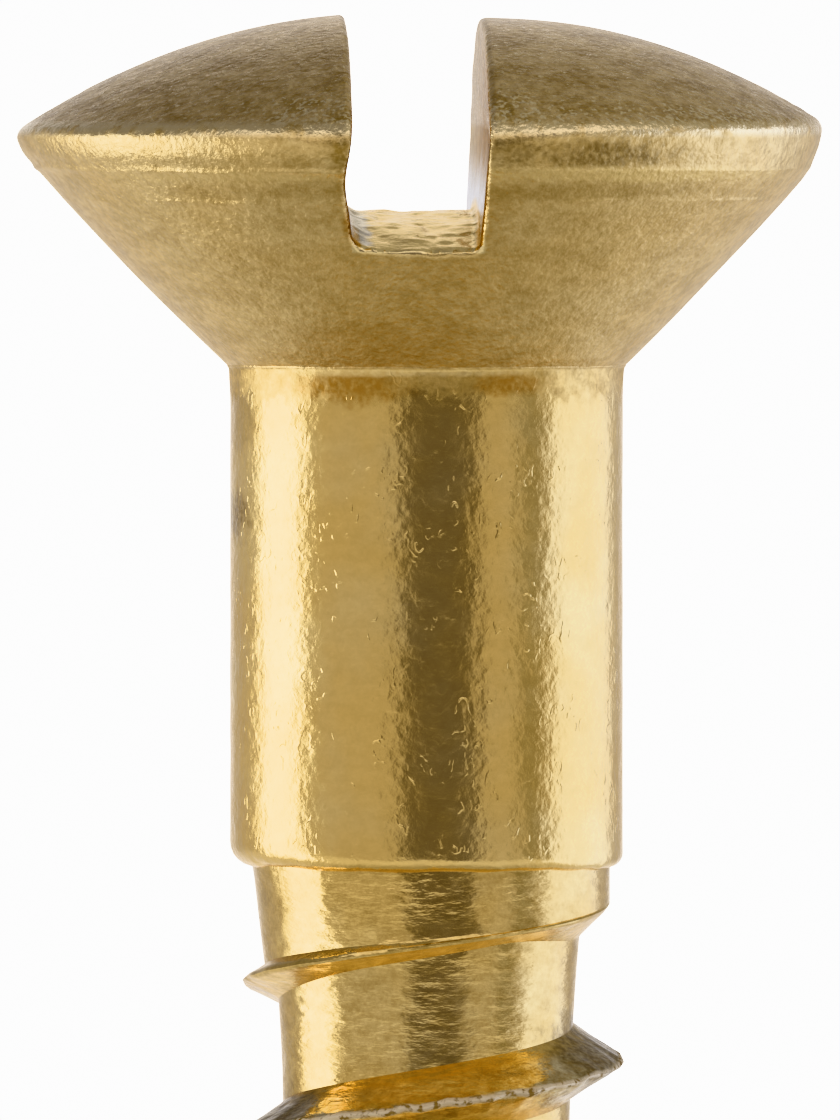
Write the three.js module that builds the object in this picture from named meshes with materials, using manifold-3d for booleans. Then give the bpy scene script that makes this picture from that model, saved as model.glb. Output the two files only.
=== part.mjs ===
// Slotted raised-countersunk wood screw, No. 6 gauge by 3/4 inch, turned from solid brass.
//
// Millimetres. The origin is on the shank's axis, in the plane of the head's widest circle, which
// is level with the timber when the screw is home. +Z points out of the timber, towards the crown.
// The screw is one piece of metal. Its named regions meet on planes square to the axis.

import * as THREE from 'three';
import { mergeVertices } from 'three/addons/utils/BufferGeometryUtils.js';
import Module from 'manifold-3d';

// Gauge, thread and length
const INCH = 25.4;
const SHANK_RADIUS = 0.138 * INCH / 2;
const THREAD_PITCH = INCH / 18;
const TIP_Z = -0.75 * INCH;

// Head: a low dome, a small rounded rim and a slightly bulging countersunk cone
const HEAD_RADIUS = 3.59;
const CROWN_HEIGHT = 1.16;
const RIM_ROUNDING = 0.16;
const CONE_HEIGHT = 2.05;
const CONE_RIM_HALF_ANGLE = THREE.MathUtils.degToRad(39.5);
const CONE_BULGE = 0.037;

// Driving slot: straight walls, and a floor that a drum-fed slitting saw leaves higher in the middle
const SLOT_WIDTH = 1.18;
const SLOT_FLOOR_Z = -0.65;
const SLOT_FLOOR_RADIUS = 13;
const SLOT_FLOOR_FACETS = 7;

// Plain shank, and the lower edge where the blank steps down to the threaded end
const SHANK_END_Z = -6.5;
const SHANK_EDGE_ROUNDING = 0.115;

// Thread: right-handed, with sharp ridges on a broad core that narrows towards the point
const NECK_RADIUS = SHANK_RADIUS - SHANK_EDGE_ROUNDING;
const FULL_THREAD_Z = -8.22;
const CORE_RADIUS = 1.29;
const CORE_TAPER = 0.018;
const RUNOUT_CORE_TAPER = 0.06;
const RUNOUT_CREST_RADIUS = 1.64;
const FLANK_HALF_ANGLE = THREE.MathUtils.degToRad(30);
const CREST_HALF_WIDTH = 0.03;
const FOOT_EASE = 0.03;

// Where the thread's regions are divided, and the length of the pointed end
const RUNOUT_END_Z = -8.0;
const POINT_START_Z = -15.25;
const TIP_RADIUS = 0.04;
const CREST_POINT_CURVE = 1.5;
const CORE_POINT_CURVE = 1.15;

// Facets
const FACETS_ROUND = 48;
const DOME_STEPS = 6;
const RIM_STEPS = 4;
const CONE_STEPS = 5;
const EDGE_STEPS = 3;
const ROWS_PER_PITCH = 5;

const BRASS_BRIGHT = { color: 0xd3b25f, roughness: 0.28, metalness: 1 };
const BRASS_DULL = { color: 0xb59a5c, roughness: 0.42, metalness: 1 };

const wasm = await Module();
wasm.setup();

// ---- Solids ------------------------------------------------------------------------------------

function toSolid(geometry) {
  const bare = geometry.clone();
  bare.deleteAttribute('normal');
  bare.deleteAttribute('uv');
  const merged = mergeVertices(bare);
  return new wasm.Manifold(new wasm.Mesh({
    numProp: 3,
    vertProperties: new Float32Array(merged.attributes.position.array),
    triVerts: new Uint32Array(merged.index.array),
  }));
}

function toGeometry(solid) {
  const mesh = solid.getMesh();
  const indexed = new THREE.BufferGeometry();
  indexed.setAttribute('position', new THREE.BufferAttribute(mesh.vertProperties, 3));
  indexed.setIndex(new THREE.BufferAttribute(mesh.triVerts, 1));
  const geometry = indexed.toNonIndexed();
  geometry.computeVertexNormals();
  return geometry;
}

// Turns a profile of (radius, height) points about Z.
function turned(profile) {
  return new THREE.LatheGeometry(profile, FACETS_ROUND).rotateX(Math.PI / 2);
}

// A slab across the screw between two heights.
function slab(lowZ, highZ) {
  const side = 4 * HEAD_RADIUS;
  return new THREE.BoxGeometry(side, side, highZ - lowZ).translate(0, 0, (lowZ + highZ) / 2);
}

// ---- Arcs --------------------------------------------------------------------------------------

function arcPoints(centre, radius, startAngle, endAngle, steps) {
  return Array.from({ length: steps + 1 }, (_, i) => {
    const angle = startAngle + (endAngle - startAngle) * i / steps;
    return new THREE.Vector2(
      centre.x + radius * Math.cos(angle),
      centre.y + radius * Math.sin(angle),
    );
  });
}

// A shallow arc from start to end that bulges to the right of its direction of travel.
function bulgePoints(start, end, bulge, steps) {
  const along = end.clone().sub(start);
  const outward = new THREE.Vector2(along.y, -along.x).normalize();
  return Array.from({ length: steps + 1 }, (_, i) => {
    const t = i / steps;
    const height = 4 * bulge * t * (1 - t);
    return start.clone().addScaledVector(along, t).addScaledVector(outward, height);
  });
}

// ---- Head --------------------------------------------------------------------------------------

// The dome is the sphere that has the crown's height and runs smoothly into the rim's rounding.
function headProfile() {
  const rim = new THREE.Vector2(HEAD_RADIUS - RIM_ROUNDING, 0);
  const domeRadius = (rim.x ** 2 + CROWN_HEIGHT ** 2 - RIM_ROUNDING ** 2)
    / (2 * (CROWN_HEIGHT - RIM_ROUNDING));
  const domeCentre = new THREE.Vector2(0, CROWN_HEIGHT - domeRadius);
  const domeEdgeAngle = Math.atan2(rim.y - domeCentre.y, rim.x - domeCentre.x);

  const rimArc = arcPoints(rim, RIM_ROUNDING, -CONE_RIM_HALF_ANGLE, domeEdgeAngle, RIM_STEPS);
  const coneFoot = new THREE.Vector2(SHANK_RADIUS, -CONE_HEIGHT);
  const cone = bulgePoints(coneFoot, rimArc[0], CONE_BULGE, CONE_STEPS);
  const dome = arcPoints(domeCentre, domeRadius, domeEdgeAngle, Math.PI / 2, DOME_STEPS);
  dome[DOME_STEPS].x = 0;
  return [
    new THREE.Vector2(0, -CONE_HEIGHT),
    ...cone,
    ...rimArc.slice(1),
    ...dome.slice(1),
  ];
}

// The slot runs along Y, open at both ends and at the top.
function slotCutter() {
  const reach = HEAD_RADIUS + RIM_ROUNDING;
  const floorCentre = new THREE.Vector2(0, SLOT_FLOOR_Z - SLOT_FLOOR_RADIUS);
  const halfSweep = Math.asin(reach / SLOT_FLOOR_RADIUS);
  const halfFacet = halfSweep / SLOT_FLOOR_FACETS;
  const floorRadius = SLOT_FLOOR_RADIUS / Math.cos(halfFacet);
  const floor = arcPoints(
    floorCentre, floorRadius, Math.PI / 2 - halfSweep, Math.PI / 2 + halfSweep, SLOT_FLOOR_FACETS,
  );
  const outline = new THREE.Shape([
    new THREE.Vector2(-reach, CROWN_HEIGHT + RIM_ROUNDING),
    new THREE.Vector2(reach, CROWN_HEIGHT + RIM_ROUNDING),
    ...floor,
  ].reverse());
  const cutter = new THREE.ExtrudeGeometry(outline, { depth: SLOT_WIDTH, bevelEnabled: false });
  const alongY = new THREE.Matrix4().makeBasis(
    new THREE.Vector3(0, 1, 0), new THREE.Vector3(0, 0, 1), new THREE.Vector3(1, 0, 0),
  );
  return cutter.translate(0, 0, -SLOT_WIDTH / 2).applyMatrix4(alongY);
}

function headGeometry() {
  return toGeometry(toSolid(turned(headProfile())).subtract(toSolid(slotCutter())));
}

// ---- Shank -------------------------------------------------------------------------------------

function shankGeometry() {
  const edge = new THREE.Vector2(NECK_RADIUS, SHANK_END_Z + SHANK_EDGE_ROUNDING);
  return turned([
    new THREE.Vector2(0, SHANK_END_Z),
    ...arcPoints(edge, SHANK_EDGE_ROUNDING, -Math.PI / 2, 0, EDGE_STEPS),
    new THREE.Vector2(SHANK_RADIUS, -CONE_HEIGHT),
    new THREE.Vector2(0, -CONE_HEIGHT),
  ]);
}

// ---- Thread ------------------------------------------------------------------------------------
//
// A place on the ridge is its number of turns above the one at which it reaches its full height,
// which lies on +X at FULL_THREAD_Z. Above that the ridge shrinks for half a turn, and the groove
// above it fills up over one turn, until both are lost in the neck.

// 0 along the thread's parallel length, rising to 1 at the tip.
function pointShare(z) {
  return THREE.MathUtils.clamp((POINT_START_Z - z) / (POINT_START_Z - TIP_Z), 0, 1);
}

function crestRadius(turns, z) {
  const { lerp, clamp, smoothstep } = THREE.MathUtils;
  const full = lerp(SHANK_RADIUS, TIP_RADIUS, pointShare(z) ** CREST_POINT_CURVE);
  const shrunk = lerp(full, RUNOUT_CREST_RADIUS, clamp(2 * turns, 0, 1));
  return lerp(shrunk, NECK_RADIUS, smoothstep(turns, 0.5, 1));
}

function coreRadius(turns, z) {
  const { lerp, smoothstep } = THREE.MathUtils;
  const above = z - FULL_THREAD_Z;
  const tapered = CORE_RADIUS + above * (above > 0 ? RUNOUT_CORE_TAPER : CORE_TAPER);
  const core = lerp(tapered, TIP_RADIUS, pointShare(z) ** CORE_POINT_CURVE);
  return lerp(core, NECK_RADIUS, smoothstep(turns, 0, 1));
}

// The rows of one pitch: the ridge's lower foot, the two edges of its crest, its upper foot and
// the middle of the groove above it. The lower foot stands in the groove of the turn before.
function threadPoint(turns, row) {
  const ridgeZ = FULL_THREAD_Z + THREAD_PITCH * turns;
  const grooveTurns = row === 0 ? turns - 1 : turns;
  const crest = crestRadius(turns, ridgeZ);
  const rise = Math.max(crest - coreRadius(grooveTurns, ridgeZ), 0);
  const footReach = CREST_HALF_WIDTH + FOOT_EASE + rise * Math.tan(FLANK_HALF_ANGLE);
  const offsets = [
    -footReach, -CREST_HALF_WIDTH, CREST_HALF_WIDTH, footReach, THREAD_PITCH / 2,
  ];
  const z = ridgeZ + offsets[row];
  const onCrest = row === 1 || row === 2;
  const radius = onCrest ? crest : coreRadius(grooveTurns, z);
  const angle = 2 * Math.PI * turns;
  return [radius * Math.cos(angle), radius * Math.sin(angle), z];
}

// The threaded end as a closed grid that winds up the helix, overlong at both ends. The column
// after the last one of a turn is the first column again, one pitch of rows further up.
function threadedBar() {
  const lowTurn = Math.floor((TIP_Z - FULL_THREAD_Z) / THREAD_PITCH) - 2;
  const highTurn = Math.ceil((SHANK_END_Z - FULL_THREAD_Z) / THREAD_PITCH) + 2;
  const topRow = (highTurn - lowTurn) * ROWS_PER_PITCH;
  const lastColumn = FACETS_ROUND - 1;
  const positions = [];
  for (let column = 0; column <= lastColumn; column += 1) {
    for (let row = 0; row <= topRow; row += 1) {
      const turns = lowTurn + Math.floor(row / ROWS_PER_PITCH) + column / FACETS_ROUND;
      positions.push(...threadPoint(turns, row % ROWS_PER_PITCH));
    }
  }
  const at = (column, row) => (column > lastColumn
    ? row + ROWS_PER_PITCH
    : column * (topRow + 1) + row);

  const faces = [];
  for (let column = 0; column <= lastColumn; column += 1) {
    const rows = column === lastColumn ? topRow - ROWS_PER_PITCH : topRow;
    for (let row = 0; row < rows; row += 1) {
      const [lowLeft, lowRight] = [at(column, row), at(column + 1, row)];
      const [highLeft, highRight] = [at(column, row + 1), at(column + 1, row + 1)];
      faces.push(lowLeft, lowRight, highRight, lowLeft, highRight, highLeft);
    }
  }

  // Each end is a cone from its open rim to a point on the axis.
  const lowTip = positions.length / 3;
  positions.push(0, 0, FULL_THREAD_Z + THREAD_PITCH * (lowTurn - 1));
  const highTip = lowTip + 1;
  positions.push(0, 0, FULL_THREAD_Z + THREAD_PITCH * (highTurn + 2));
  const lowRim = [];
  const highRim = [];
  for (let column = 0; column <= lastColumn; column += 1) {
    lowRim.push(at(column, 0));
    highRim.push(at(column, topRow));
  }
  for (let row = 0; row < ROWS_PER_PITCH; row += 1) {
    lowRim.push(at(0, ROWS_PER_PITCH - row));
    highRim.push(at(lastColumn, topRow - 1 - row));
  }
  lowRim.forEach((vertex, i) => faces.push(lowTip, lowRim[(i + 1) % lowRim.length], vertex));
  highRim.forEach((vertex, i) => faces.push(highTip, vertex, highRim[(i + 1) % highRim.length]));

  const geometry = new THREE.BufferGeometry();
  geometry.setAttribute('position', new THREE.BufferAttribute(new Float32Array(positions), 3));
  geometry.setIndex(faces);
  return geometry;
}

// ---- Screw -------------------------------------------------------------------------------------

function region(name, geometry, finish) {
  const mesh = new THREE.Mesh(geometry, new THREE.MeshStandardMaterial(finish));
  mesh.name = name;
  return mesh;
}

const threaded = toSolid(threadedBar());

function threadedRegion(name, lowZ, highZ) {
  return region(name, toGeometry(threaded.intersect(toSolid(slab(lowZ, highZ)))), BRASS_BRIGHT);
}

const screw = new THREE.Group();
screw.add(
  region('head', headGeometry(), BRASS_DULL),
  region('shank', shankGeometry(), BRASS_BRIGHT),
  threadedRegion('thread_runout', RUNOUT_END_Z, SHANK_END_Z),
  threadedRegion('thread', POINT_START_Z, RUNOUT_END_Z),
  threadedRegion('gimlet_point', TIP_Z, POINT_START_Z),
);

export default screw;
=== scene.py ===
"""Slotted raised-countersunk brass wood screw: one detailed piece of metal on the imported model.

Lengths are millimetres until the finished mesh is scaled to metres. +Z points to the crown,
-Y towards the camera and +X to its right. Azimuths are degrees from -Y, positive towards +X.
"""
import itertools
import math

import bmesh
import bpy
import numpy as np
from mathutils import Matrix, Vector


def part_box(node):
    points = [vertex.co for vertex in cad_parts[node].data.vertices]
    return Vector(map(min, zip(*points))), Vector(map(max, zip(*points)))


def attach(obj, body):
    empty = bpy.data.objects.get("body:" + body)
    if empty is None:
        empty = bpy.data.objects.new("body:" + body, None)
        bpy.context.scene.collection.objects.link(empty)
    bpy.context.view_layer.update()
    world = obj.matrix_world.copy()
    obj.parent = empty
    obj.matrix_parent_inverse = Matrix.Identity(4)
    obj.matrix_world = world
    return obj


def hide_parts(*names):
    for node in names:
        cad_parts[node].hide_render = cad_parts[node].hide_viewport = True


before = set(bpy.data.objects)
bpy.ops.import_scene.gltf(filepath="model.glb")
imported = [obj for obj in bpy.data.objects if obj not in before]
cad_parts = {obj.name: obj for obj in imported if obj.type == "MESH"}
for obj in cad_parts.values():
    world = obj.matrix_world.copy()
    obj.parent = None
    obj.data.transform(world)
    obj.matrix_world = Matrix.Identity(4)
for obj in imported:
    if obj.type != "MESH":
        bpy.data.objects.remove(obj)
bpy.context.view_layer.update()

MM = 0.001

# ---- Driving dimensions, as in the part but fitted to the photographed screw ---------------------

INCH = 25.4
SHANK_RADIUS = 0.138 * INCH / 2
THREAD_PITCH = INCH / 18
TIP_Z = -0.75 * INCH

# Head: a low dome, a rim, and a slightly bulging cone that ends in the shank's top
HEAD_RADIUS = 3.59
CROWN_HEIGHT = 1.18
DOME_RADIUS = 6.55
CONE_HEIGHT = 2.05
CONE_TOP_RADIUS = 3.61
CONE_TOP_Z = -0.102
CONE_SLOPE = math.radians(42.5)     # from the axis
CONE_BULGE = 0.045

# Driving slot, along Y; its floor is an arc, highest in the middle
SLOT_HALF_WIDTH = 0.602
SLOT_FLOOR_Z = -0.65
SLOT_FLOOR_RADIUS = 12.0

# Plain shank, down to the step at its lower edge
SHANK_END_Z = -6.5
NECK_RADIUS = SHANK_RADIUS - 0.115

# Thread and point
FULL_THREAD_Z = -8.22
CORE_RADIUS = 1.29
CORE_TAPER = 0.018                  # widening of the core for each millimetre towards the head
RUNOUT_CORE_TAPER = 0.06
RUNOUT_CREST_RADIUS = 1.64
FLANK_HALF_ANGLE = math.radians(30)
FLANK_CURVE = 1.15
CREST_HALF_WIDTH = 0.02
FOOT_EASE = 0.03
POINT_START_Z = -15.25
TIP_RADIUS = 0.04
CREST_POINT_CURVE = 1.5
CORE_POINT_CURVE = 1.15

# Run-out. Turns are counted from 0, where the thread is full, to 1, where the ridge has gone.
FILL_SLANT = 0.25
FILL_STEPS = ((0, 0), (0.2, 0.104), (0.4, 0.352), (0.54, 0.6), (0.62, 0.9), (0.7, 1), (9, 1))
FLANK_SLOPES = ((0.1, 0.5, 0.4),)                               # from turn, to turn, slope
LOWER_FLANK_SLOPES = ((0.52, 0.68, 0.2), (0.82, 1.0, 1.0))

# ---- How this screw differs from the ideal one ---------------------------------------------------

RIM_SHIFT = -0.071          # the rim was trimmed slightly off the shank's axis
CONE_SHIFT = -0.02
RIM_SOFT_LEFT = 0.1         # rounding under the rim
RIM_SOFT_RIGHT = 0.2
RIM_SWELL = 0.014
RIM_LINE_SOFT = 0.08        # rounding between dome and rim, and what is added beside the slot
RIM_LINE_SOFT_SLOT = 0.1
CROWN_WEAR_LEFT = 0.05      # the middle of the dome is worn down, more on the right of the slot
CROWN_WEAR_RIGHT = 0.1
CROWN_WEAR_REACH = 1.2
TURNED_LINES = ((-0.28, 0.018, 0.026), (-0.55, 0.009, 0.018))    # height, depth and half-width
SLOT_CENTRE = -0.128        # the slot is off-centre, its right wall leans and its left is hollow
SLOT_LEAN = 0.07
SLOT_HOLLOW = 0.06
SLOT_HOLLOW_Z = -0.38
SLOT_HOLLOW_REACH = 0.28
SLOT_EDGE_SOFT = 0.075      # rounding of its edges, and of its corners at the left and the right
SLOT_CORNER_SOFT = (0.17, 0.06)
SHANK_EDGE_LEFT = 0.23      # rounding of the shank's lower edge
SHANK_EDGE_RIGHT = 0.11
FILLET = 0.06               # rounding in the corner between cone and shank
FLARE_HEIGHT = 0.3          # the top of the shank widens a little towards the cone
FLARE = 0.012

# Unevenness of each surface, as layers of noise: (height, size of the features, seed)
HEAD_WANDER = ((0.005, 0.5, 3),)
DOME_PITS = ((0.004, 0.16, 41), (0.003, 0.09, 42))
SLOT_SIDE_PITS = ((0.007, 0.12, 43),)
TURNED_LINE_WANDER = ((0.025, 0.9, 4),)
TURNED_LINE_DEPTHS = ((0.6, 0.45, 6),)
RIM_DENTS = ((0.006, 0.17, 5), (0.003, 0.1, 9))
SLOT_WALL_WANDER = ((0.006, 0.5, 11),)
SLOT_EDGE_WANDER = ((0.25, 0.2, 13),)
FLOOR_SAW_MARKS = ((0.018, 0.2, 7),)
FLOOR_PITS = ((0.012, 0.11, 8),)
SHANK_WAVES = ((0.003, 0.7, 21), (0.0015, 0.25, 22), (0.0012, 0.13, 26))
FLARE_WANDER = ((0.06, 0.35, 27),)
FLARE_STREAKS = ((0.006, 0.14, 24),)
LOW_EDGE_WANDER = ((0.02, 0.45, 23), (0.01, 0.15, 25))
BURR_HEIGHTS = ((0.014, 0.1, 31), (0.014, 0.3, 32))
BURR_LIFTS = ((0.02, 0.13, 33),)
BURR_DROP = 0.005
BURR_EDGE = 0.012           # how much lower the crest's two edges are than its middle
FLANK_LIFT = 0.6            # how much of the crest's lift the flanks follow
SAW_STRETCH = np.array([1, 0.35, 1])
STREAK_STRETCH = np.array([1, 1, 0.4])

# ---- Mesh fineness -------------------------------------------------------------------------------

HEAD_CELL = 0.065           # of the first net round the head
NET_MARGIN = 0.2            # of that net beyond the head, and below it
NET_MARGIN_BELOW = 0.4
HEAD_STUB = 0.22            # how far the head's blank reaches down into the shank
SHANK_STUB = 0.5            # how far the shank's blank reaches up into the head
SLOPE_REACH = 0.002         # either side of a point, to measure a slope
REFINE_ROUNDS = 2
REFINE_ANGLE = math.radians(9)
COLUMNS = 220
SHANK_ROW = 0.07
LOW_EDGE_ROWS = 7
FILLET_ROWS = 6
MERGE_REACH = 0.0015        # points nearer to each other than this become one
SLIVER = 0.001
FOLD_ROUNDS = 5
CREASE_ANGLE = math.radians(38)


# ---- Smooth numbers ------------------------------------------------------------------------------

def smoothstep(value, low, high):
    t = np.clip((value - low) / (high - low), 0, 1)
    return t * t * (3 - 2 * t)


def lerp(a, b, t):
    return a + (b - a) * t


def lattice_value(cell, seed):
    """A fixed number from 0 to 1 for each whole-numbered cell: the factors only scramble bits."""
    h = cell[..., 0] * 374761393 + cell[..., 1] * 668265263 + cell[..., 2] * 1442695041
    h = h + seed * 1013904223
    h = (h ^ (h >> 13)) * 1274126177
    h = h ^ (h >> 16)
    return (h & 0xFFFFFF) / float(0xFFFFFF)


def noise(points, size, seed):
    """Smooth noise from -1 to 1 with features about `size` across."""
    place = points / size
    base = np.floor(place).astype(np.int64)
    t = place - base
    t = t * t * (3 - 2 * t)
    total = np.zeros(points.shape[:-1])
    for corner in itertools.product((0, 1), repeat=3):
        step = np.array(corner)
        weight = np.prod(np.where(step == 1, t, 1 - t), axis=-1)
        total += weight * lattice_value(base + step, seed)
    return 2 * total - 1


def uneven(points, layers):
    """The sum of layers of noise, each (height, size, seed)."""
    return sum(height * noise(points, size, seed) for height, size, seed in layers)


def round_both(a, b, radius):
    """The overlap of two solids, with the edge between them rounded."""
    corner = np.hypot(np.maximum(a + radius, 0), np.maximum(b + radius, 0))
    return np.minimum(np.maximum(a, b), -radius) + corner


# ---- Head as a distance field --------------------------------------------------------------------

def cone_radius(z):
    t = (z + CONE_HEIGHT) / (CONE_TOP_Z + CONE_HEIGHT)
    return lerp(SHANK_RADIUS, CONE_TOP_RADIUS, t) + 4 * CONE_BULGE * t * (1 - t)


def blank_distance(points):
    """The head before it is slotted."""
    x, y, z = points[..., 0], points[..., 1], points[..., 2]
    from_slot = np.abs(x - SLOT_CENTRE)
    share = smoothstep(z, -CONE_HEIGHT, -1)
    right = smoothstep(x / HEAD_RADIUS, -0.4, 0.8)
    wander = uneven(points, HEAD_WANDER) * share
    worn = lerp(CROWN_WEAR_LEFT, CROWN_WEAR_RIGHT, smoothstep(x, -0.5, 0.5))
    worn = worn * np.exp(-(x ** 2 + y ** 2) / CROWN_WEAR_REACH ** 2)
    dome = np.sqrt(x ** 2 + y ** 2 + (z - CROWN_HEIGHT + DOME_RADIUS) ** 2) - DOME_RADIUS + worn
    dome = dome + uneven(points, DOME_PITS) * smoothstep(z, 1.0, 0.3)
    near_slot = smoothstep(from_slot, 1.6, 0.7) * smoothstep(z, 0.6, 0.3)
    dome = dome + near_slot * uneven(points, SLOT_SIDE_PITS)
    band = np.hypot(x - RIM_SHIFT, y) - HEAD_RADIUS - RIM_SWELL + wander
    cone = np.hypot(x - CONE_SHIFT * share, y) - cone_radius(z)
    cone = cone * math.cos(CONE_SLOPE) + wander
    for line, depth, half in TURNED_LINES:
        height = z - line - uneven(points, TURNED_LINE_WANDER)
        depths = 0.6 + uneven(points, TURNED_LINE_DEPTHS)
        cone = cone - depth * depths * np.exp(-(height / half) ** 2)
    soft = lerp(RIM_SOFT_LEFT, RIM_SOFT_RIGHT, right)
    rim = round_both(band, cone, soft)
    rough = smoothstep(z, -0.4, -0.1) * (0.3 + 0.7 * right)
    rim = rim + rough * uneven(points, RIM_DENTS)
    base = -CONE_HEIGHT - HEAD_STUB - z
    line_soft = RIM_LINE_SOFT + RIM_LINE_SOFT_SLOT * smoothstep(from_slot, 1.3, 0.7)
    return np.maximum(round_both(dome, rim, line_soft), base)


def slot_distance(points):
    """The space the saw took out."""
    x, y, z = points[..., 0], points[..., 1], points[..., 2]
    hollow = SLOT_HOLLOW * np.exp(-((z - SLOT_HOLLOW_Z) / SLOT_HOLLOW_REACH) ** 2)
    left = SLOT_CENTRE - SLOT_HALF_WIDTH - hollow - x
    right = x - SLOT_CENTRE - SLOT_HALF_WIDTH - SLOT_LEAN * np.minimum(z, 0)
    walls = np.maximum(left, right) + uneven(points, SLOT_WALL_WANDER)
    floor = SLOT_FLOOR_Z + np.sqrt(SLOT_FLOOR_RADIUS ** 2 - y ** 2) - SLOT_FLOOR_RADIUS
    floor = floor + uneven(points * SAW_STRETCH, FLOOR_SAW_MARKS) + uneven(points, FLOOR_PITS)
    soft = lerp(*SLOT_CORNER_SOFT, smoothstep(x - SLOT_CENTRE, -0.3, 0.3))
    return round_both(walls, floor - z, soft)


def head_distance(points):
    edge = SLOT_EDGE_SOFT * (1 + uneven(points, SLOT_EDGE_WANDER))
    return round_both(blank_distance(points), -slot_distance(points), edge)


def gradient(distance, points):
    parts = []
    for axis in range(3):
        step = np.zeros(3)
        step[axis] = SLOPE_REACH
        parts.append((distance(points + step) - distance(points - step)) / (2 * SLOPE_REACH))
    return np.stack(parts, -1)


def settle(distance, points, rounds):
    """Moves points onto the surface."""
    for _ in range(rounds):
        slope = gradient(distance, points)
        size = np.sum(slope ** 2, -1) + 1e-9
        points = points - slope * (distance(points) / size)[..., None]
    return points


def surface_net(distance, low, high, cell):
    """Quads round the surface of a distance field: a vertex in each cell that it passes through."""
    counts = [int(math.ceil((b - a) / cell)) + 1 for a, b in zip(low, high)]
    axes = [a + cell * np.arange(n) for a, n in zip(low, counts)]
    corners = np.stack(np.meshgrid(*axes, indexing="ij"), -1)
    inside = distance(corners) < 0
    quads = []
    for axis in range(3):
        ahead = np.roll(inside, -1, axis)
        for solid_first in (True, False):
            crossing = (inside & ~ahead) if solid_first else (~inside & ahead)
            at = np.argwhere(crossing)
            side, up = np.eye(3, dtype=int)[(axis + 1) % 3], np.eye(3, dtype=int)[(axis + 2) % 3]
            ring = [at - side - up, at - up, at, at - side]
            quads.append(np.stack(ring if solid_first else ring[::-1], 1))
    quads = np.concatenate(quads)
    flat = np.ravel_multi_index(quads.reshape(-1, 3).T, counts)
    used, index = np.unique(flat, return_inverse=True)
    cells = np.stack(np.unravel_index(used, counts), -1)
    points = np.array(low) + cell * (cells + 0.5)
    return points, index.reshape(-1, 4)


def bmesh_from(points, faces):
    mesh = bpy.data.meshes.new("net")
    mesh.from_pydata(points.tolist(), [], [list(map(int, f)) for f in faces])
    bm = bmesh.new()
    bm.from_mesh(mesh)
    bpy.data.meshes.remove(mesh)
    return bm


def bmesh_points(bm):
    return np.array([v.co for v in bm.verts])


def move_points(bm, points):
    for vertex, point in zip(bm.verts, points):
        vertex.co = point


def refine(bm, distance):
    """Splits the edges across which the surface turns quickly."""
    points = bmesh_points(bm)
    normals = gradient(distance, points)
    normals /= np.linalg.norm(normals, axis=-1, keepdims=True)
    ends = np.array([[e.verts[0].index, e.verts[1].index] for e in bm.edges])
    turn = np.sum(normals[ends[:, 0]] * normals[ends[:, 1]], -1)
    sharp = np.flatnonzero(turn < math.cos(REFINE_ANGLE))
    bm.edges.ensure_lookup_table()
    bmesh.ops.subdivide_edges(bm, edges=[bm.edges[i] for i in sharp], cuts=1)
    bm.verts.index_update()
    move_points(bm, settle(distance, bmesh_points(bm), 2))


def head_mesh():
    reach = HEAD_RADIUS + NET_MARGIN
    low = (-reach, -reach, -CONE_HEIGHT - NET_MARGIN_BELOW)
    high = (reach, reach, CROWN_HEIGHT + NET_MARGIN)
    points, quads = surface_net(head_distance, low, high, HEAD_CELL)
    bm = bmesh_from(settle(head_distance, points, 4), quads)
    for _ in range(REFINE_ROUNDS):
        refine(bm, head_distance)
    return bm


# ---- Shank ---------------------------------------------------------------------------------------

def shank_profile(angle):
    """Radius and height of each row, from the axis at the bottom to the axis inside the head."""
    left = smoothstep(-np.cos(angle), 0.2, 1)
    soft = lerp(SHANK_EDGE_RIGHT, SHANK_EDGE_LEFT, left)
    rows = [(0 * angle, SHANK_END_Z + 0 * angle)]
    for quarter in np.linspace(-math.pi / 2, 0, LOW_EDGE_ROWS):
        centre = SHANK_RADIUS - soft
        rows.append((centre + soft * math.cos(quarter),
                     SHANK_END_Z + soft + soft * math.sin(quarter)))
    fillet_z = -CONE_HEIGHT - FILLET * math.tan(CONE_SLOPE / 2)
    count = int((fillet_z - SHANK_END_Z - SHANK_EDGE_LEFT) / SHANK_ROW)
    for share in np.linspace(0, 1, count + 1)[1:]:
        rows.append((SHANK_RADIUS + 0 * angle, lerp(SHANK_END_Z + soft, fillet_z, share)))
    for turn in np.linspace(0, CONE_SLOPE, FILLET_ROWS)[1:]:
        width = SHANK_RADIUS + FILLET * (1 - math.cos(turn))
        rows.append((width + 0 * angle, fillet_z + FILLET * math.sin(turn) + 0 * angle))
    rows.append((width + 0 * angle, -CONE_HEIGHT + SHANK_STUB + 0 * angle))
    rows.append((0 * angle, -CONE_HEIGHT + SHANK_STUB + 0 * angle))
    return rows


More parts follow.
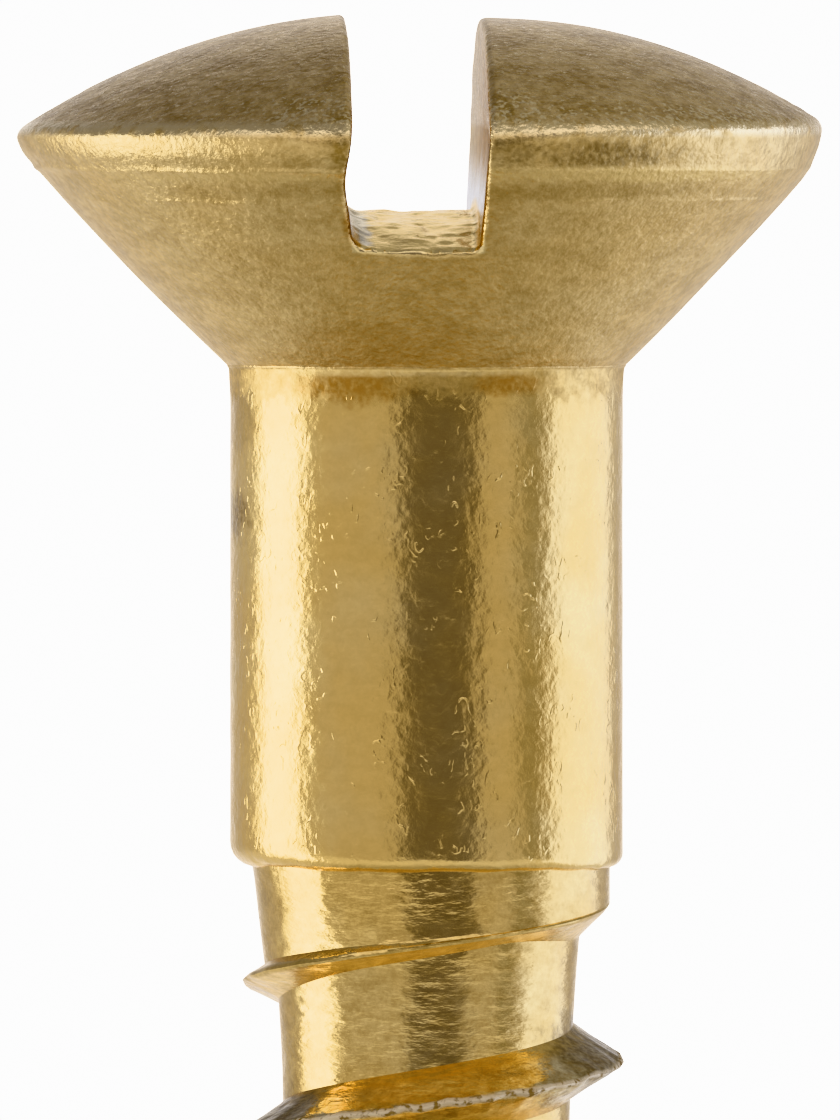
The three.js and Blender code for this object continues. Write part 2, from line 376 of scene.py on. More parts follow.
def shank_mesh():
    angle = np.arange(COLUMNS) * 2 * math.pi / COLUMNS
    rows = shank_profile(angle)
    rings = []
    for radius, z in rows[1:-1]:
        rings.append(np.stack([radius * np.cos(angle), radius * np.sin(angle), z], -1))
    points = np.concatenate(rings)
    radial = points * np.array([1, 1, 0]) / SHANK_RADIUS
    wave = uneven(points, SHANK_WAVES)
    flared = points[:, 2] + CONE_HEIGHT + FLARE_HEIGHT + uneven(points, FLARE_WANDER)
    wave = wave + FLARE * np.clip(flared / FLARE_HEIGHT, 0, 1) ** 2
    top_edge = smoothstep(points[:, 2], -CONE_HEIGHT - 0.3, -CONE_HEIGHT - 0.05)
    wave = wave + top_edge * uneven(points * STREAK_STRETCH, FLARE_STREAKS)
    points = points + radial * wave[:, None]
    low_edge = smoothstep(-points[:, 2], -SHANK_END_Z - 0.25, -SHANK_END_Z)
    points[:, 2] += low_edge * uneven(points, LOW_EDGE_WANDER)
    faces = []
    for ring in range(len(rings) - 1):
        for column in range(COLUMNS):
            beside = (column + 1) % COLUMNS
            base = ring * COLUMNS
            faces.append((base + column, base + beside,
                          base + COLUMNS + beside, base + COLUMNS + column))
    bottom, top = len(points), len(points) + 1
    ends = [(0, 0, SHANK_END_Z), (0, 0, rows[-1][1][0])]
    last = (len(rings) - 1) * COLUMNS
    for column in range(COLUMNS):
        beside = (column + 1) % COLUMNS
        faces.append((bottom, beside, column))
        faces.append((top, last + column, last + beside))
    return bmesh_from(np.concatenate([points, ends]), faces)


# ---- Thread --------------------------------------------------------------------------------------

def point_share(z):
    return np.clip((POINT_START_Z - z) / (POINT_START_Z - TIP_Z), 0, 1)


def crest_radius(turns, z):
    full = lerp(SHANK_RADIUS, TIP_RADIUS, point_share(z) ** CREST_POINT_CURVE)
    shrunk = lerp(full, RUNOUT_CREST_RADIUS, np.clip(2 * turns, 0, 1))
    return lerp(shrunk, NECK_RADIUS, smoothstep(turns, 0.5, 1))


def core_radius(turns, z):
    """The groove above the ridge at these turns; where it fills up, it is shallower higher up."""
    above = z - FULL_THREAD_Z
    tapered = CORE_RADIUS + above * np.where(above > 0, RUNOUT_CORE_TAPER, CORE_TAPER)
    core = lerp(tapered, TIP_RADIUS, point_share(z) ** CORE_POINT_CURVE)
    up_groove = np.clip(above / THREAD_PITCH - turns, 0, 1)
    filled = np.interp(turns + FILL_SLANT * (up_groove - 0.5), *zip(*FILL_STEPS))
    return lerp(core, NECK_RADIUS, filled)


# One pitch of rows: the lower flank, the crest and the upper flank, as shares of the way out from
# foot to crest, and then the groove, as shares of the way up to the next ridge.
FLANK_SHARES = (0.0, 0.12, 0.5, 0.85)
GROOVE_SHARES = (0.12, 0.35, 0.65, 0.88)
ROWS_PER_PITCH = 2 * len(FLANK_SHARES) + 3 + len(GROOVE_SHARES)


def flank_slope(turns, side):
    """How far a flank reaches along the axis for each millimetre that it rises."""
    slope = math.tan(FLANK_HALF_ANGLE)
    steps = FLANK_SLOPES if side > 0 else FLANK_SLOPES + LOWER_FLANK_SLOPES
    for from_turn, to_turn, value in steps:
        slope = lerp(slope, value, smoothstep(turns, from_turn, to_turn))
    return slope


def along_helix(turns, layers):
    """Unevenness along the ridge, the same from foot to crest."""
    length = turns * 2 * math.pi * SHANK_RADIUS
    return uneven(np.stack([length, 0 * length, 0 * length], -1), layers)


def ridge_rows(turns):
    """(radius, z) of every row of the ridge and of the groove above it, at these turns."""
    ridge_z = FULL_THREAD_Z + THREAD_PITCH * turns
    crest = crest_radius(turns, ridge_z)
    rises = [np.maximum(crest - core_radius(t, ridge_z), 0) for t in (turns - 1, turns)]
    reaches = [CREST_HALF_WIDTH + FOOT_EASE + rise * flank_slope(turns, side)
               for rise, side in zip(rises, (-1, 1))]
    full = smoothstep(crest - core_radius(turns, ridge_z), 0.05, 0.4)
    burr = full * along_helix(turns, BURR_HEIGHTS)
    lift = full * (along_helix(turns, BURR_LIFTS) - BURR_DROP)
    rows = []
    for share in FLANK_SHARES:
        z = ridge_z - lerp(reaches[0], CREST_HALF_WIDTH, share)
        radius = lerp(core_radius(turns - 1, z), crest, share ** FLANK_CURVE)
        rows.append((radius, z + FLANK_LIFT * lift * share))
    for side in (-1, 0, 1):
        radius = crest + burr - BURR_EDGE * abs(side)
        rows.append((radius, ridge_z + side * CREST_HALF_WIDTH + lift))
    for share in reversed(FLANK_SHARES):
        z = ridge_z + lerp(reaches[1], CREST_HALF_WIDTH, share)
        radius = lerp(core_radius(turns, z), crest, share ** FLANK_CURVE)
        rows.append((radius, z + FLANK_LIFT * lift * share))
    next_z = ridge_z + THREAD_PITCH
    next_rise = np.maximum(crest_radius(turns + 1, next_z) - core_radius(turns, next_z), 0)
    next_reach = CREST_HALF_WIDTH + FOOT_EASE + next_rise * flank_slope(turns + 1, -1)
    for share in GROOVE_SHARES:
        z = lerp(ridge_z + reaches[1], next_z - next_reach, share)
        rows.append((core_radius(turns, z), z))
    return rows


def thread_mesh():
    """The threaded end as a closed grid that winds up the helix, overlong at both ends."""
    low_turn = math.floor((TIP_Z - FULL_THREAD_Z) / THREAD_PITCH) - 2
    high_turn = math.ceil((SHANK_END_Z - FULL_THREAD_Z) / THREAD_PITCH) + 1
    pitches = high_turn - low_turn
    top_row = pitches * ROWS_PER_PITCH
    column = np.arange(COLUMNS)
    blocks = []
    for pitch in range(pitches + 1):
        turns = low_turn + pitch + column / COLUMNS
        for radius, z in ridge_rows(turns):
            angle = 2 * math.pi * turns
            blocks.append(np.stack([radius * np.cos(angle), radius * np.sin(angle), z], -1))
    points = np.stack(blocks[: top_row + 1], 1).reshape(-1, 3)
    last = COLUMNS - 1

    def at(col, row):
        return row + ROWS_PER_PITCH if col > last else col * (top_row + 1) + row

    faces = []
    for col in range(COLUMNS):
        for row in range(top_row - ROWS_PER_PITCH if col == last else top_row):
            faces.append((at(col, row), at(col + 1, row), at(col + 1, row + 1), at(col, row + 1)))
    low_tip, high_tip = len(points), len(points) + 1
    ends = [(0, 0, FULL_THREAD_Z + THREAD_PITCH * (low_turn - 1)),
            (0, 0, FULL_THREAD_Z + THREAD_PITCH * (high_turn + 2))]
    low_rim = [at(col, 0) for col in range(COLUMNS)]
    low_rim += [at(0, ROWS_PER_PITCH - row) for row in range(ROWS_PER_PITCH)]
    high_rim = [at(col, top_row) for col in range(COLUMNS)]
    high_rim += [at(last, top_row - 1 - row) for row in range(ROWS_PER_PITCH)]
    for i, vertex in enumerate(low_rim):
        faces.append((low_tip, low_rim[(i + 1) % len(low_rim)], vertex))
    for i, vertex in enumerate(high_rim):
        faces.append((high_tip, vertex, high_rim[(i + 1) % len(high_rim)]))
    return bmesh_from(np.concatenate([points, ends]), faces)


def slab_mesh():
    """Everything above the tip."""
    bm = bmesh.new()
    bmesh.ops.create_cube(bm, size=1)
    side = 4 * HEAD_RADIUS
    height = CROWN_HEIGHT - TIP_Z
    for v in bm.verts:
        v.co = Vector((v.co.x * side, v.co.y * side, TIP_Z + (v.co.z + 0.5) * height))
    return bm


# ---- One piece -----------------------------------------------------------------------------------

def working_object(name, bm):
    bmesh.ops.triangulate(bm, faces=bm.faces)
    mesh = bpy.data.meshes.new(name)
    bm.to_mesh(mesh)
    bm.free()
    made = bpy.data.objects.new(name, mesh)
    bpy.context.scene.collection.objects.link(made)
    return made


def combine(base, other, operation):
    step = base.modifiers.new("combine", "BOOLEAN")
    step.object = other
    step.operation = operation
    step.solver = "MANIFOLD"
    graph = bpy.context.evaluated_depsgraph_get()
    made = bpy.data.meshes.new_from_object(base.evaluated_get(graph))
    base.modifiers.clear()
    base.data = made
    bpy.data.objects.remove(other)


def close_folds(bm):
    """Merging near points can leave a tiny fold, with edges that don't have exactly two faces."""
    for _ in range(FOLD_ROUNDS):
        folds = [e for e in bm.edges if len(e.link_faces) != 2]
        if folds:
            bmesh.ops.collapse(bm, edges=folds)
            bmesh.ops.triangulate(bm, faces=bm.faces)


def build_screw():
    screw = working_object("wood_screw", thread_mesh())
    combine(screw, working_object("slab", slab_mesh()), "INTERSECT")
    combine(screw, working_object("shank_blank", shank_mesh()), "UNION")
    combine(screw, working_object("head_blank", head_mesh()), "UNION")
    bm = bmesh.new()
    bm.from_mesh(screw.data)
    bmesh.ops.remove_doubles(bm, verts=bm.verts, dist=MERGE_REACH)
    bmesh.ops.dissolve_degenerate(bm, edges=bm.edges, dist=SLIVER)
    bmesh.ops.triangulate(bm, faces=bm.faces)
    close_folds(bm)
    bm.to_mesh(screw.data)
    bm.free()
    screw.data.transform(Matrix.Scale(MM, 4))
    screw.data.shade_smooth()
    screw.data.set_sharp_from_angle(angle=CREASE_ANGLE)
    return screw


# ---- Node helpers --------------------------------------------------------------------------------

def node(tree, kind, inputs=(), **settings):
    made = tree.nodes.new(kind)
    for name, value in settings.items():
        setattr(made, name, value)
    for key, value in dict(inputs).items():
        if isinstance(value, bpy.types.NodeSocket):
            tree.links.new(value, made.inputs[key])
        else:
            made.inputs[key].default_value = value
    return made


def maths(tree, operation, a, b=0.0, c=0.0):
    return node(tree, "ShaderNodeMath", {0: a, 1: b, 2: c}, operation=operation).outputs[0]


def times(tree, a, *others):
    for other in others:
        a = maths(tree, "MULTIPLY", a, other)
    return a


def vector_maths(tree, operation, a, b):
    return node(tree, "ShaderNodeVectorMath", {0: a, 1: b}, operation=operation).outputs[0]


def ease(tree, value, low, high):
    """0 below low and 1 above high, with a smooth change between; low may be the larger."""
    made = node(tree, "ShaderNodeMapRange", {"Value": value, "From Min": low, "From Max": high})
    made.interpolation_type = "SMOOTHSTEP"
    return made.outputs[0]


def window(tree, value, low, high, soft):
    rise = ease(tree, value, low - soft, low + soft)
    fall = ease(tree, value, high + soft, high - soft)
    return maths(tree, "MULTIPLY", rise, fall)


def mix_number(tree, share, a, b):
    return node(tree, "ShaderNodeMix", {0: share, 2: a, 3: b}).outputs[0]


def mix_colour(tree, share, a, b):
    made = node(tree, "ShaderNodeMix", data_type="RGBA")
    for key, value in (("Factor", share), ("A", a), ("B", b)):
        socket = [s for s in made.inputs if s.name == key and s.enabled][0]
        if isinstance(value, bpy.types.NodeSocket):
            tree.links.new(value, socket)
        else:
            socket.default_value = value
    return [s for s in made.outputs if s.enabled][0]


def grain(tree, vector, size, detail=2.0, stretch=(1, 1, 1)):
    """Noise from 0 to 1 in the material, with features about `size` millimetres across."""
    scaled = node(tree, "ShaderNodeMapping", {"Vector": vector, "Scale": stretch}).outputs[0]
    made = node(tree, "ShaderNodeTexNoise", {"Vector": scaled, "Scale": 1 / size, "Detail": detail})
    return made.outputs[0]


# ---- Brass ---------------------------------------------------------------------------------------

BRASS = (0.94, 0.64, 0.22, 1)
BRASS_PALE = (0.95, 0.69, 0.28, 1)
BRASS_WORN = (0.93, 0.69, 0.34, 1)
# paler tint painted on the thread's flanks, offsetting the deeper colour that light bouncing
# between them gives
BRASS_FLANK = (0.92, 0.77, 0.46, 1)
BRASS_SAWN = (1.0, 0.77, 0.37, 1)
# painted highlight lines, round the corner of cone and shank and under the upper turned groove
BRASS_CLEAN = (1.0, 0.73, 0.3, 1)
# painted glints on the dome, and the painted highlight along the line between dome and rim
BRASS_BRIGHT = (1.0, 0.8, 0.45, 1)
BRASS_DARK = (0.5, 0.32, 0.1, 1)
STAIN = (0.52, 0.27, 0.06, 1)
# real grime in patches, and specks of painted shadow on the thread's crest
GRIME = (0.4, 0.25, 0.07, 1)
# painted shade: dark reflections and a shaded flank
SHADE = (0.22, 0.14, 0.05, 1)
SMEAR = (0.72, 0.69, 0.68, 1)
# painted highlight on the ragged crest of the thread
BURR = (1.0, 0.86, 0.62, 1)
WHITE = (1, 1, 1, 1)
SLOT_GLANCE = (1.0, 0.9, 0.68, 1)   # what the slot's floor shows at a glancing angle

# Places painted in another colour: stains and grime, but also painted shade and painted highlight
# lines. Centre, half-size, colour and strength.
STAINS = (
    ((-0.72, -1.75, -2.2), (0.42, 0.8, 0.14), STAIN, 1.0),
    ((0.68, -1.65, -2.17), (0.3, 0.7, 0.08), STAIN, 1.0),
    # darker and browner low on the cone, beside the shank
    ((-0.5, -1.9, -1.85), (0.8, 0.9, 0.22), STAIN, 0.3),
    # painted highlight line round the corner between cone and shank
    ((-0.3, -1.9, -2.07), (1.1, 0.9, 0.035), BRASS_CLEAN, 1.0),
    ((-0.73, -3.2, -0.75), (0.07, 0.9, 0.14), STAIN, 0.8),
    # painted shade: dark reflection on the rim band right of the slot
    ((0.64, -3.5, -0.12), (0.3, 0.4, 0.12), SHADE, 0.7),
    ((1.6, -3.3, -0.14), (0.66, 0.6, 0.12), SHADE, 0.85),
    ((-0.84, -3.5, -0.12), (0.12, 0.4, 0.15), GRIME, 0.95),
    ((0.4, -2.8, -0.47), (2.2, 1.5, 0.07), GRIME, 0.45),
    # painted highlight lines under the upper turned groove's lower lip, stronger right of the slot
    ((1.9, -3.0, -0.31), (1.7, 1.6, 0.06), BRASS_CLEAN, 0.9),
    ((-1.9, -3.0, -0.33), (1.6, 1.6, 0.04), BRASS_CLEAN, 0.6),
    ((-1.72, -0.5, -3.36), (0.14, 0.4, 0.2), GRIME, 0.9),
    ((-1.68, -0.5, -2.5), (0.15, 0.5, 0.3), GRIME, 0.35),
    # painted shade on the second ridge: its shaded lower flank on the left, a dark reflection on
    # its right end
    ((-1.35, -0.9, -8.6), (0.35, 0.6, 0.2), SHADE, 0.8),
    ((1.5, -0.4, -8.15), (0.45, 0.9, 0.34), SHADE, 0.9),
)

# Where a region begins and where it is complete: heights, and distances from the axis
COLLAR_EDGE = (-CONE_HEIGHT - 0.06, -CONE_HEIGHT + 0.14)
HEAD_EDGE = (-CONE_HEIGHT - 0.02, -CONE_HEIGHT + 0.03)
DOME_EDGE = (0.06, 0.16)
# band of painted highlight along the line between dome and rim
RIM_LINE_BAND = (0.04, 0.15, 0.04)      # from, to, softness
RIM_LINE_EDGE = (3.2, 3.35)
THREAD_EDGE = (SHANK_END_Z + 0.03, SHANK_END_Z - 0.03)
FLANK_EDGE = (1.38, 1.5)
FLANK_TOP = (-7.6, -7.9)
BURR_RADII = (SHANK_RADIUS - 0.05, SHANK_RADIUS - 0.02)
BURR_TOP = (SHANK_END_Z - 0.9, SHANK_END_Z - 1.0)
BURR_DULLER = (-9.8, -10.6)             # below this the burr stands out less

# Places on the dome where painted glints, small bright spots, are close together: centre and
# half-size.
GLINTS = (
    ((-1.0, -3.35, 0.2), (0.5, 0.6, 0.25)),
    ((0.66, -3.4, 0.22), (0.5, 0.6, 0.25)),
    ((2.5, -2.3, 0.16), (1.0, 1.2, 0.16)),
)
GLINT_CROWDING = 0.12

# How strongly fine dark spots show, and how rough the brass is, on the drawn shank and then on each
# region, where a later region covers an earlier one
SPOTS_DRAWN = 0.16
SPOTS = (("collar", 0.6), ("coarse", 0.5), ("dome", 0.85), ("threaded", 0.5), ("flank", 0.75),
         ("in_slot", 0.08))
ROUGH_DRAWN = 0.19
ROUGH = (("collar", 0.42), ("head", 0.37), ("dome", 0.29), ("in_slot", 0.2), ("threaded", 0.2),
         ("glint", 0.16), ("rim_line", 0.2), ("burr", 0.65))
ROUGH_SWING = 0.22

# Fine relief, too small for the mesh
RELIEF = 0.006              # millimetres for a height of 1
PEEL_DENTS = 0.45
PEEL_WAVES = 1.3
BLAST = 2.2
BLAST_DOME = 2.8
DASHES = 2.8

# Radius that the cone would reach in the rim's plane
RIM_SKIN = SHANK_RADIUS + CONE_HEIGHT * math.tan(CONE_SLOPE)


def patch(tree, place, centre, size):
    """1 inside a soft-edged ellipsoid, whose edge wanders with fine noise."""
    away = vector_maths(tree, "DIVIDE", vector_maths(tree, "SUBTRACT", place, centre), size)
    reach = node(tree, "ShaderNodeVectorMath", {0: away}, operation="LENGTH").outputs["Value"]
    wander = maths(tree, "MULTIPLY_ADD", grain(tree, place, 0.13, 4), 2.0, -1.0)
    speckle = ease(tree, grain(tree, place, 0.045, 4), 0.3, 0.65)
    speckle = maths(tree, "MULTIPLY_ADD", speckle, 0.5, 0.5)
    return times(tree, ease(tree, maths(tree, "ADD", reach, wander), 1.55, 0.45), speckle)


def slot_regions(tree, on):
    """Adds the slot's surfaces, its floor alone, and the height above the floor's middle."""
    up = maths(tree, "MULTIPLY_ADD", on["z"], 1 / SLOT_HOLLOW_REACH,
               -SLOT_HOLLOW_Z / SLOT_HOLLOW_REACH)
    hollow = maths(tree, "EXPONENT", times(tree, up, up, -1.0))
    wall_x = maths(tree, "MULTIPLY_ADD", hollow, SLOT_HOLLOW, on["x"])
    left, right = SLOT_CENTRE - SLOT_HALF_WIDTH, SLOT_CENTRE + SLOT_HALF_WIDTH
    across = times(tree, ease(tree, wall_x, left - 0.005, left + 0.01),
                   ease(tree, on["x"], right, right - 0.04))
    sag = times(tree, on["y"], on["y"], 0.5 / SLOT_FLOOR_RADIUS)
    above = maths(tree, "ADD", on["z"], sag)
    low = SLOT_FLOOR_Z
    on["above"] = above
    on["in_slot"] = times(tree, across, ease(tree, above, low - 0.06, low - 0.03))
    on["floor"] = times(tree, on["in_slot"], ease(tree, above, low + 0.14, low + 0.05))


def regions(tree, place):
    """Coordinates in millimetres, and masks that are 1 on one region of the screw."""
    x, y, z = node(tree, "ShaderNodeSeparateXYZ", {0: place}).outputs
    radius = maths(tree, "SQRT", maths(tree, "MULTIPLY_ADD", x, x, times(tree, y, y)))
    on = {"x": x, "y": y, "z": z, "radius": radius}
    slot_regions(tree, on)
    ragged_z = maths(tree, "MULTIPLY_ADD", grain(tree, place, 0.13, 3), 0.55, z)
    on["collar"] = ease(tree, ragged_z, *COLLAR_EDGE)
    on["head"] = ease(tree, z, *HEAD_EDGE)
    on["coarse"] = times(tree, on["head"], maths(tree, "SUBTRACT", 1.0, on["in_slot"]))
    on["dome"] = ease(tree, z, *DOME_EDGE)
    # painted highlight along the line between dome and rim, broken up by noise
    on["rim_line"] = times(tree, window(tree, z, *RIM_LINE_BAND),
                           ease(tree, radius, *RIM_LINE_EDGE),
                           ease(tree, grain(tree, place, 0.15, 4), 0.3, 0.5))
    on["glint"] = glints(tree, place, on)
    on["threaded"] = ease(tree, z, *THREAD_EDGE)
    on["flank"] = times(tree, ease(tree, radius, *FLANK_EDGE), ease(tree, z, *FLANK_TOP))
    on["burr"] = times(tree, ease(tree, radius, *BURR_RADII), ease(tree, z, *BURR_TOP))
    return on


def glints(tree, place, on):
    """Painted glints: small bright spots on the dome, most of them near the rim."""
    near_rim = ease(tree, on["z"], 0.55, 0.1)
    level = maths(tree, "MULTIPLY_ADD", near_rim, 0.05, grain(tree, place, 0.045, 1))
    for centre, size in GLINTS:
        crowd = patch(tree, place, centre, size)
        level = maths(tree, "MULTIPLY_ADD", crowd, GLINT_CROWDING, level)
    return times(tree, ease(tree, level, 0.64, 0.76), on["dome"], 0.9)


def slot_smear(tree, place, on):
    """Grey film on the right wall, and on the left of the floor's front half."""
    above = on["above"]
    wall = times(tree, ease(tree, on["x"], 0.38, 0.44), ease(tree, above, -0.6, -0.5))
    ragged_x = maths(tree, "MULTIPLY_ADD", grain(tree, place, 0.2, 3), 0.2, on["x"])
    left = times(tree, ease(tree, ragged_x, -0.42, -0.5), ease(tree, above, -0.45, -0.55),
                 ease(tree, on["y"], -0.2, -1.2))
    skin = maths(tree, "MULTIPLY_ADD", on["z"], -math.tan(CONE_SLOPE), on["radius"])
    inside = times(tree, on["in_slot"], ease(tree, skin, RIM_SKIN - 0.03, RIM_SKIN - 0.08))
    return times(tree, inside, maths(tree, "MAXIMUM", wall, left))


def dark_spots(tree, place, on, tint):
    spots = ease(tree, grain(tree, place, 0.1, 6, (1, 1, 1.3)), 0.38, 0.62)
    clouds = ease(tree, grain(tree, place, 0.4, 5, (1, 1, 2.5)), 0.4, 0.65)
    fine = ease(tree, grain(tree, place, 0.03, 2), 0.35, 0.65)
    depth = maths(tree, "MULTIPLY_ADD", clouds, 0.45, times(tree, spots, 0.5))
    depth = maths(tree, "MULTIPLY_ADD", fine, 0.35, depth)
    strength = SPOTS_DRAWN
    for name, value in SPOTS:
        strength = mix_number(tree, on[name], strength, value)
    return mix_colour(tree, times(tree, depth, strength), tint, BRASS_DARK)


def brass_tint(tree, place, on):
    cloud = ease(tree, grain(tree, place, 0.9, 3), 0.35, 0.7)
    tint = mix_colour(tree, cloud, BRASS, BRASS_PALE)
    tint = mix_colour(tree, times(tree, on["dome"], 0.85), tint, BRASS_WORN)
    # paler tint painted on the flanks against light bouncing between them
    tint = mix_colour(tree, on["flank"], tint, BRASS_FLANK)
    tint = mix_colour(tree, times(tree, on["coarse"], 0.45), tint, BRASS_WORN)
    tint = mix_colour(tree, on["floor"], tint, BRASS_SAWN)
    tint = dark_spots(tree, place, on, tint)
    # painted glints on the dome
    tint = mix_colour(tree, on["glint"], tint, BRASS_BRIGHT)
    # painted highlight along the line between dome and rim
    tint = mix_colour(tree, times(tree, on["rim_line"], 0.8), tint, BRASS_BRIGHT)
    # stains and grime, painted shade and painted highlight lines
    for centre, size, colour, strength in STAINS:
        share = times(tree, patch(tree, place, centre, size), strength)
        tint = mix_colour(tree, share, tint, colour)
    tint = mix_colour(tree, slot_smear(tree, place, on), tint, SMEAR)
    # painted highlight on the ragged crest, broken by specks of painted shadow
    burr = mix_colour(tree, ease(tree, grain(tree, place, 0.07, 3), 0.5, 0.65), BURR, GRIME)
    fading = mix_number(tree, ease(tree, on["z"], *BURR_DULLER), 0.85, 0.35)
    return mix_colour(tree, times(tree, on["burr"], fading), tint, burr)


def brass_roughness(tree, place, on):
    rough = ROUGH_DRAWN
    for name, value in ROUGH:
        rough = mix_number(tree, on[name], rough, value)
    swing = maths(tree, "SUBTRACT", grain(tree, place, 0.12, 4), 0.5)
    return maths(tree, "MULTIPLY_ADD", swing, ROUGH_SWING, rough)


def dent_lines(tree, place):
    """Short wriggling lines, scattered."""
    ripple = grain(tree, place, 0.13, 1, (1, 1, 0.7))
    line = ease(tree, maths(tree, "ABSOLUTE", maths(tree, "SUBTRACT", ripple, 0.5)), 0.05, 0.0)
    broken = ease(tree, grain(tree, place, 0.09, 1), 0.5, 0.62)
    where = ease(tree, grain(tree, place, 0.4, 2), 0.47, 0.6)
    return times(tree, line, broken, where)


def brass_relief(tree, place, on):
    """The drawn shank's orange peel, the head's tumbled grain and the thread's short dashes."""
    peel = maths(tree, "MULTIPLY_ADD", dent_lines(tree, place), PEEL_DENTS,
                 grain(tree, place, 0.08, 4))
    peel = maths(tree, "MULTIPLY_ADD", grain(tree, place, 0.19, 2), PEEL_WAVES, peel)
    blast = times(tree, grain(tree, place, 0.055, 4),
                  mix_number(tree, on["dome"], BLAST, BLAST_DOME))
    cluster = ease(tree, grain(tree, place, 0.6, 1), 0.3, 0.7)
    dashes = times(tree, grain(tree, place, 0.2, 3, (1, 1, 3)),
                   maths(tree, "MULTIPLY_ADD", cluster, 0.6, 0.4), DASHES)
    height = mix_number(tree, on["coarse"], peel, blast)
    height = mix_number(tree, on["threaded"], height, dashes)
    bump = {"Height": height, "Strength": 1.0, "Distance": RELIEF * MM}
    return node(tree, "ShaderNodeBump", bump).outputs[0]


def brass_material():
    material = bpy.data.materials.new("worn_brass")
    material.use_nodes = True
    tree = material.node_tree
    shader = tree.nodes["Principled BSDF"]
    shader.inputs["Metallic"].default_value = 1.0
    place = node(tree, "ShaderNodeTexCoord").outputs["Object"]
    place = node(tree, "ShaderNodeVectorMath", {0: place, "Scale": 1 / MM}, operation="SCALE")
    place = place.outputs[0]
    on = regions(tree, place)
    glance = mix_colour(tree, on["floor"], WHITE, SLOT_GLANCE)
    tree.links.new(brass_tint(tree, place, on), shader.inputs["Base Color"])
    tree.links.new(brass_roughness(tree, place, on), shader.inputs["Roughness"])
    tree.links.new(brass_relief(tree, place, on), shader.inputs["Normal"])
    tree.links.new(glance, shader.inputs["Specular Tint"])
    return material


# ---- Studio --------------------------------------------------------------------------------------

FLOOR_RADIUS = 250 * MM
FLOOR_FACETS = 96
FLOOR_COLOUR = (0.8, 0.8, 0.8, 1)
FLOOR_ROUGHNESS = 0.9
FLOOR_LIGHT = 2.3           # the room counts for more in matt surfaces, which keeps the floor pale
BACKGROUND_LIGHT = 3.5      # for the white that the camera sees behind the screw

# The room that the screw reflects, from floor to ceiling, and the elevations that blend its levels
BELOW = (0.43, 0.43, 0.43, 1)
SIDES_BELOW = (0.75, 0.76, 0.8, 1)
ROOM = (0.54, 0.53, 0.545, 1)
CEILING_LEFT = (0.26, 0.26, 0.28, 1)
CEILING_RIGHT = (0.37, 0.37, 0.37, 1)
CEILING_BLEND = (8, 30)
SIDES_BELOW_BLEND = (-8, -22)
BELOW_BLEND = (-38, -68)

# The lit backdrop behind the screw: azimuths on both sides and elevations that blend it in
BACKDROP = (1.0, 1.0, 1.05, 1)
BACKDROP_BLENDS = ((150, 172, 16, 4), (167, 178, 34, 20))

# Cards round the screw: azimuth from and to, elevation from and to, softness, colour.
CARDS = (
    ("front_bar", -75, 75, 18, 50, 6, (1.05, 1.05, 1.15, 1)),
    ("dark_gap", -16, 28, -14, 25, 5, (0.17, 0.165, 0.2, 1)),
    ("right_gap", 56, 70, -10, 25, 4, (0.3, 0.3, 0.3, 1)),
    ("left_softbox", -114, -83, -35, 14, 5, (4.2, 4.6, 5.4, 1)),
    ("right_softbox", 79, 135, -35, 14, 6, (1.28, 1.48, 2.15, 1)),
)


def make_floor():
    bm = bmesh.new()
    bmesh.ops.create_circle(bm, cap_ends=True, segments=FLOOR_FACETS, radius=FLOOR_RADIUS)
    mesh = bpy.data.meshes.new("studio_floor")
    bm.to_mesh(mesh)
    bm.free()
    floor = bpy.data.objects.new("studio_floor", mesh)
    floor.location.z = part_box("gimlet_point")[0].z
    bpy.context.scene.collection.objects.link(floor)
    material = bpy.data.materials.new("pale_floor")
    material.use_nodes = True
    shader = material.node_tree.nodes["Principled BSDF"]
    shader.inputs["Base Color"].default_value = FLOOR_COLOUR
    shader.inputs["Roughness"].default_value = FLOOR_ROUGHNESS
    mesh.materials.append(material)
    floor.visible_glossy = False


def room_colour(tree):
    """The room's colour in each direction."""
    away = node(tree, "ShaderNodeTexCoord").outputs["Generated"]
    parts = node(tree, "ShaderNodeSeparateXYZ", {0: away}).outputs
    x, y, z = parts[0], parts[1], parts[2]
    azimuth = maths(tree, "DEGREES", maths(tree, "ARCTAN2", x, times(tree, y, -1.0)))
    elevation = maths(tree, "DEGREES", maths(tree, "ARCSINE", z))
    ceiling = mix_colour(tree, ease(tree, x, -0.1, 0.15), CEILING_LEFT, CEILING_RIGHT)
    colour = mix_colour(tree, ease(tree, elevation, *CEILING_BLEND), ROOM, ceiling)
    colour = mix_colour(tree, ease(tree, elevation, *SIDES_BELOW_BLEND), colour, SIDES_BELOW)
    colour = mix_colour(tree, ease(tree, elevation, *BELOW_BLEND), colour, BELOW)
    turned = maths(tree, "ABSOLUTE", azimuth)
    for az_from, az_to, el_from, el_to in BACKDROP_BLENDS:
        share = times(tree, ease(tree, turned, az_from, az_to),
                      ease(tree, elevation, el_from, el_to))
        colour = mix_colour(tree, share, colour, BACKDROP)
    for _, az_low, az_high, el_low, el_high, soft, radiance in CARDS:
        share = times(tree, window(tree, azimuth, az_low, az_high, soft),
                      window(tree, elevation, el_low, el_high, soft))
        colour = mix_colour(tree, share, colour, radiance)
    return colour


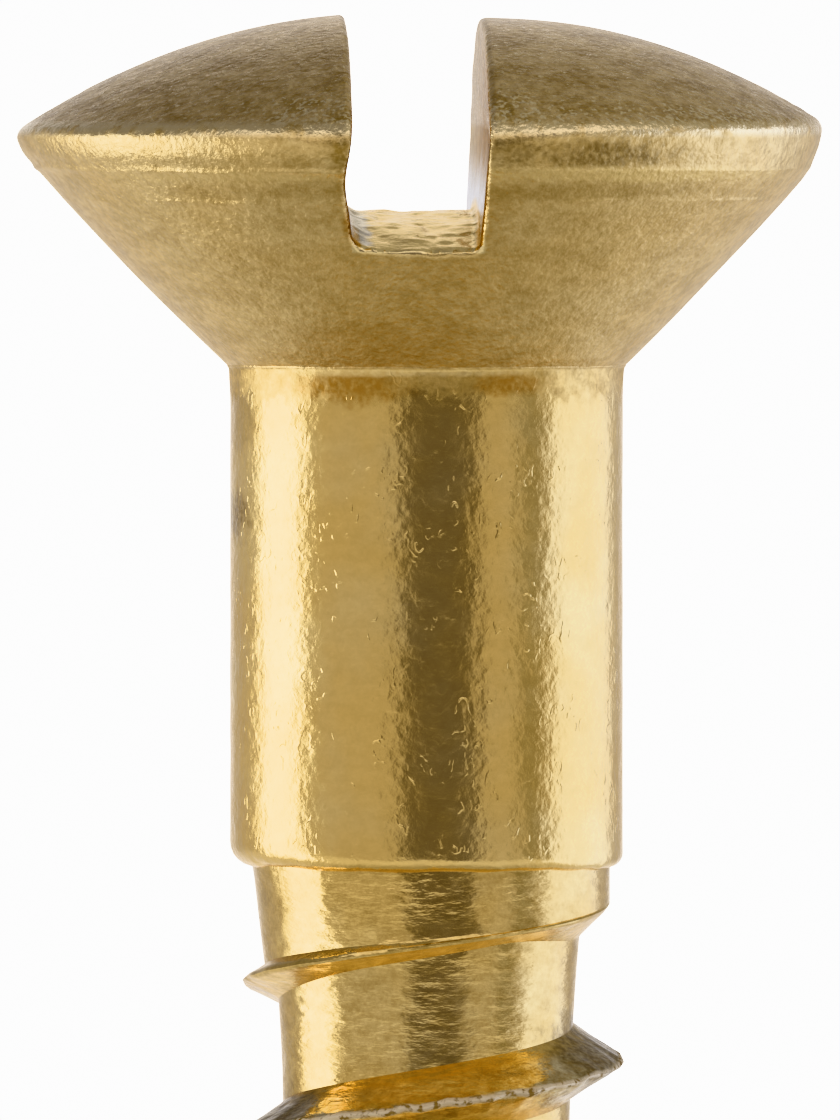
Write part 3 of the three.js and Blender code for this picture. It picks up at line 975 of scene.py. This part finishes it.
def make_world():
    world = bpy.data.worlds.new("studio")
    bpy.context.scene.world = world
    world.use_nodes = True
    tree = world.node_tree
    tree.nodes.clear()
    path = node(tree, "ShaderNodeLightPath").outputs
    strength = mix_number(tree, path["Is Diffuse Ray"], 1.0, FLOOR_LIGHT)
    lit = node(tree, "ShaderNodeBackground", {"Color": room_colour(tree), "Strength": strength})
    white = node(tree, "ShaderNodeBackground", {"Color": WHITE, "Strength": BACKGROUND_LIGHT})
    both = node(tree, "ShaderNodeMixShader", {0: path["Is Camera Ray"]})
    tree.links.new(lit.outputs[0], both.inputs[1])
    tree.links.new(white.outputs[0], both.inputs[2])
    out = node(tree, "ShaderNodeOutputWorld")
    tree.links.new(both.outputs[0], out.inputs["Surface"])


# The photograph's angle, from the crown down to the first turns of the thread
CAMERA_AZIMUTH = math.radians(-1.36)
CAMERA_ELEVATION = math.radians(1.0)
CAMERA_DISTANCE = 300 * MM
VIEW_HEIGHT = 9.99 * MM
VIEW_CENTRE = Vector((-0.058, 0.0, -3.764)) * MM
SENSOR = 36.0


def make_camera():
    data = bpy.data.cameras.new("camera")
    camera = bpy.data.objects.new("camera", data)
    bpy.context.scene.collection.objects.link(camera)
    back = Vector((math.sin(CAMERA_AZIMUTH) * math.cos(CAMERA_ELEVATION),
                   -math.cos(CAMERA_AZIMUTH) * math.cos(CAMERA_ELEVATION),
                   math.sin(CAMERA_ELEVATION)))
    camera.location = VIEW_CENTRE + back * CAMERA_DISTANCE
    camera.rotation_mode = "QUATERNION"
    camera.rotation_quaternion = (-back).to_track_quat("-Z", "Y")
    data.sensor_width = SENSOR
    data.lens = SENSOR * CAMERA_DISTANCE / VIEW_HEIGHT
    data.clip_start = 1 * MM
    data.clip_end = 10.0
    bpy.context.scene.camera = camera


def main():
    screw = build_screw()
    screw.data.materials.clear()
    screw.data.materials.append(brass_material())
    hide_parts("head", "shank", "thread_runout", "thread", "gimlet_point")
    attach(screw, "root")
    make_floor()
    make_world()
    make_camera()
    bpy.context.scene.view_settings.view_transform = "Khronos PBR Neutral"
    print("TRIANGLES", len(screw.data.polygons))


main()
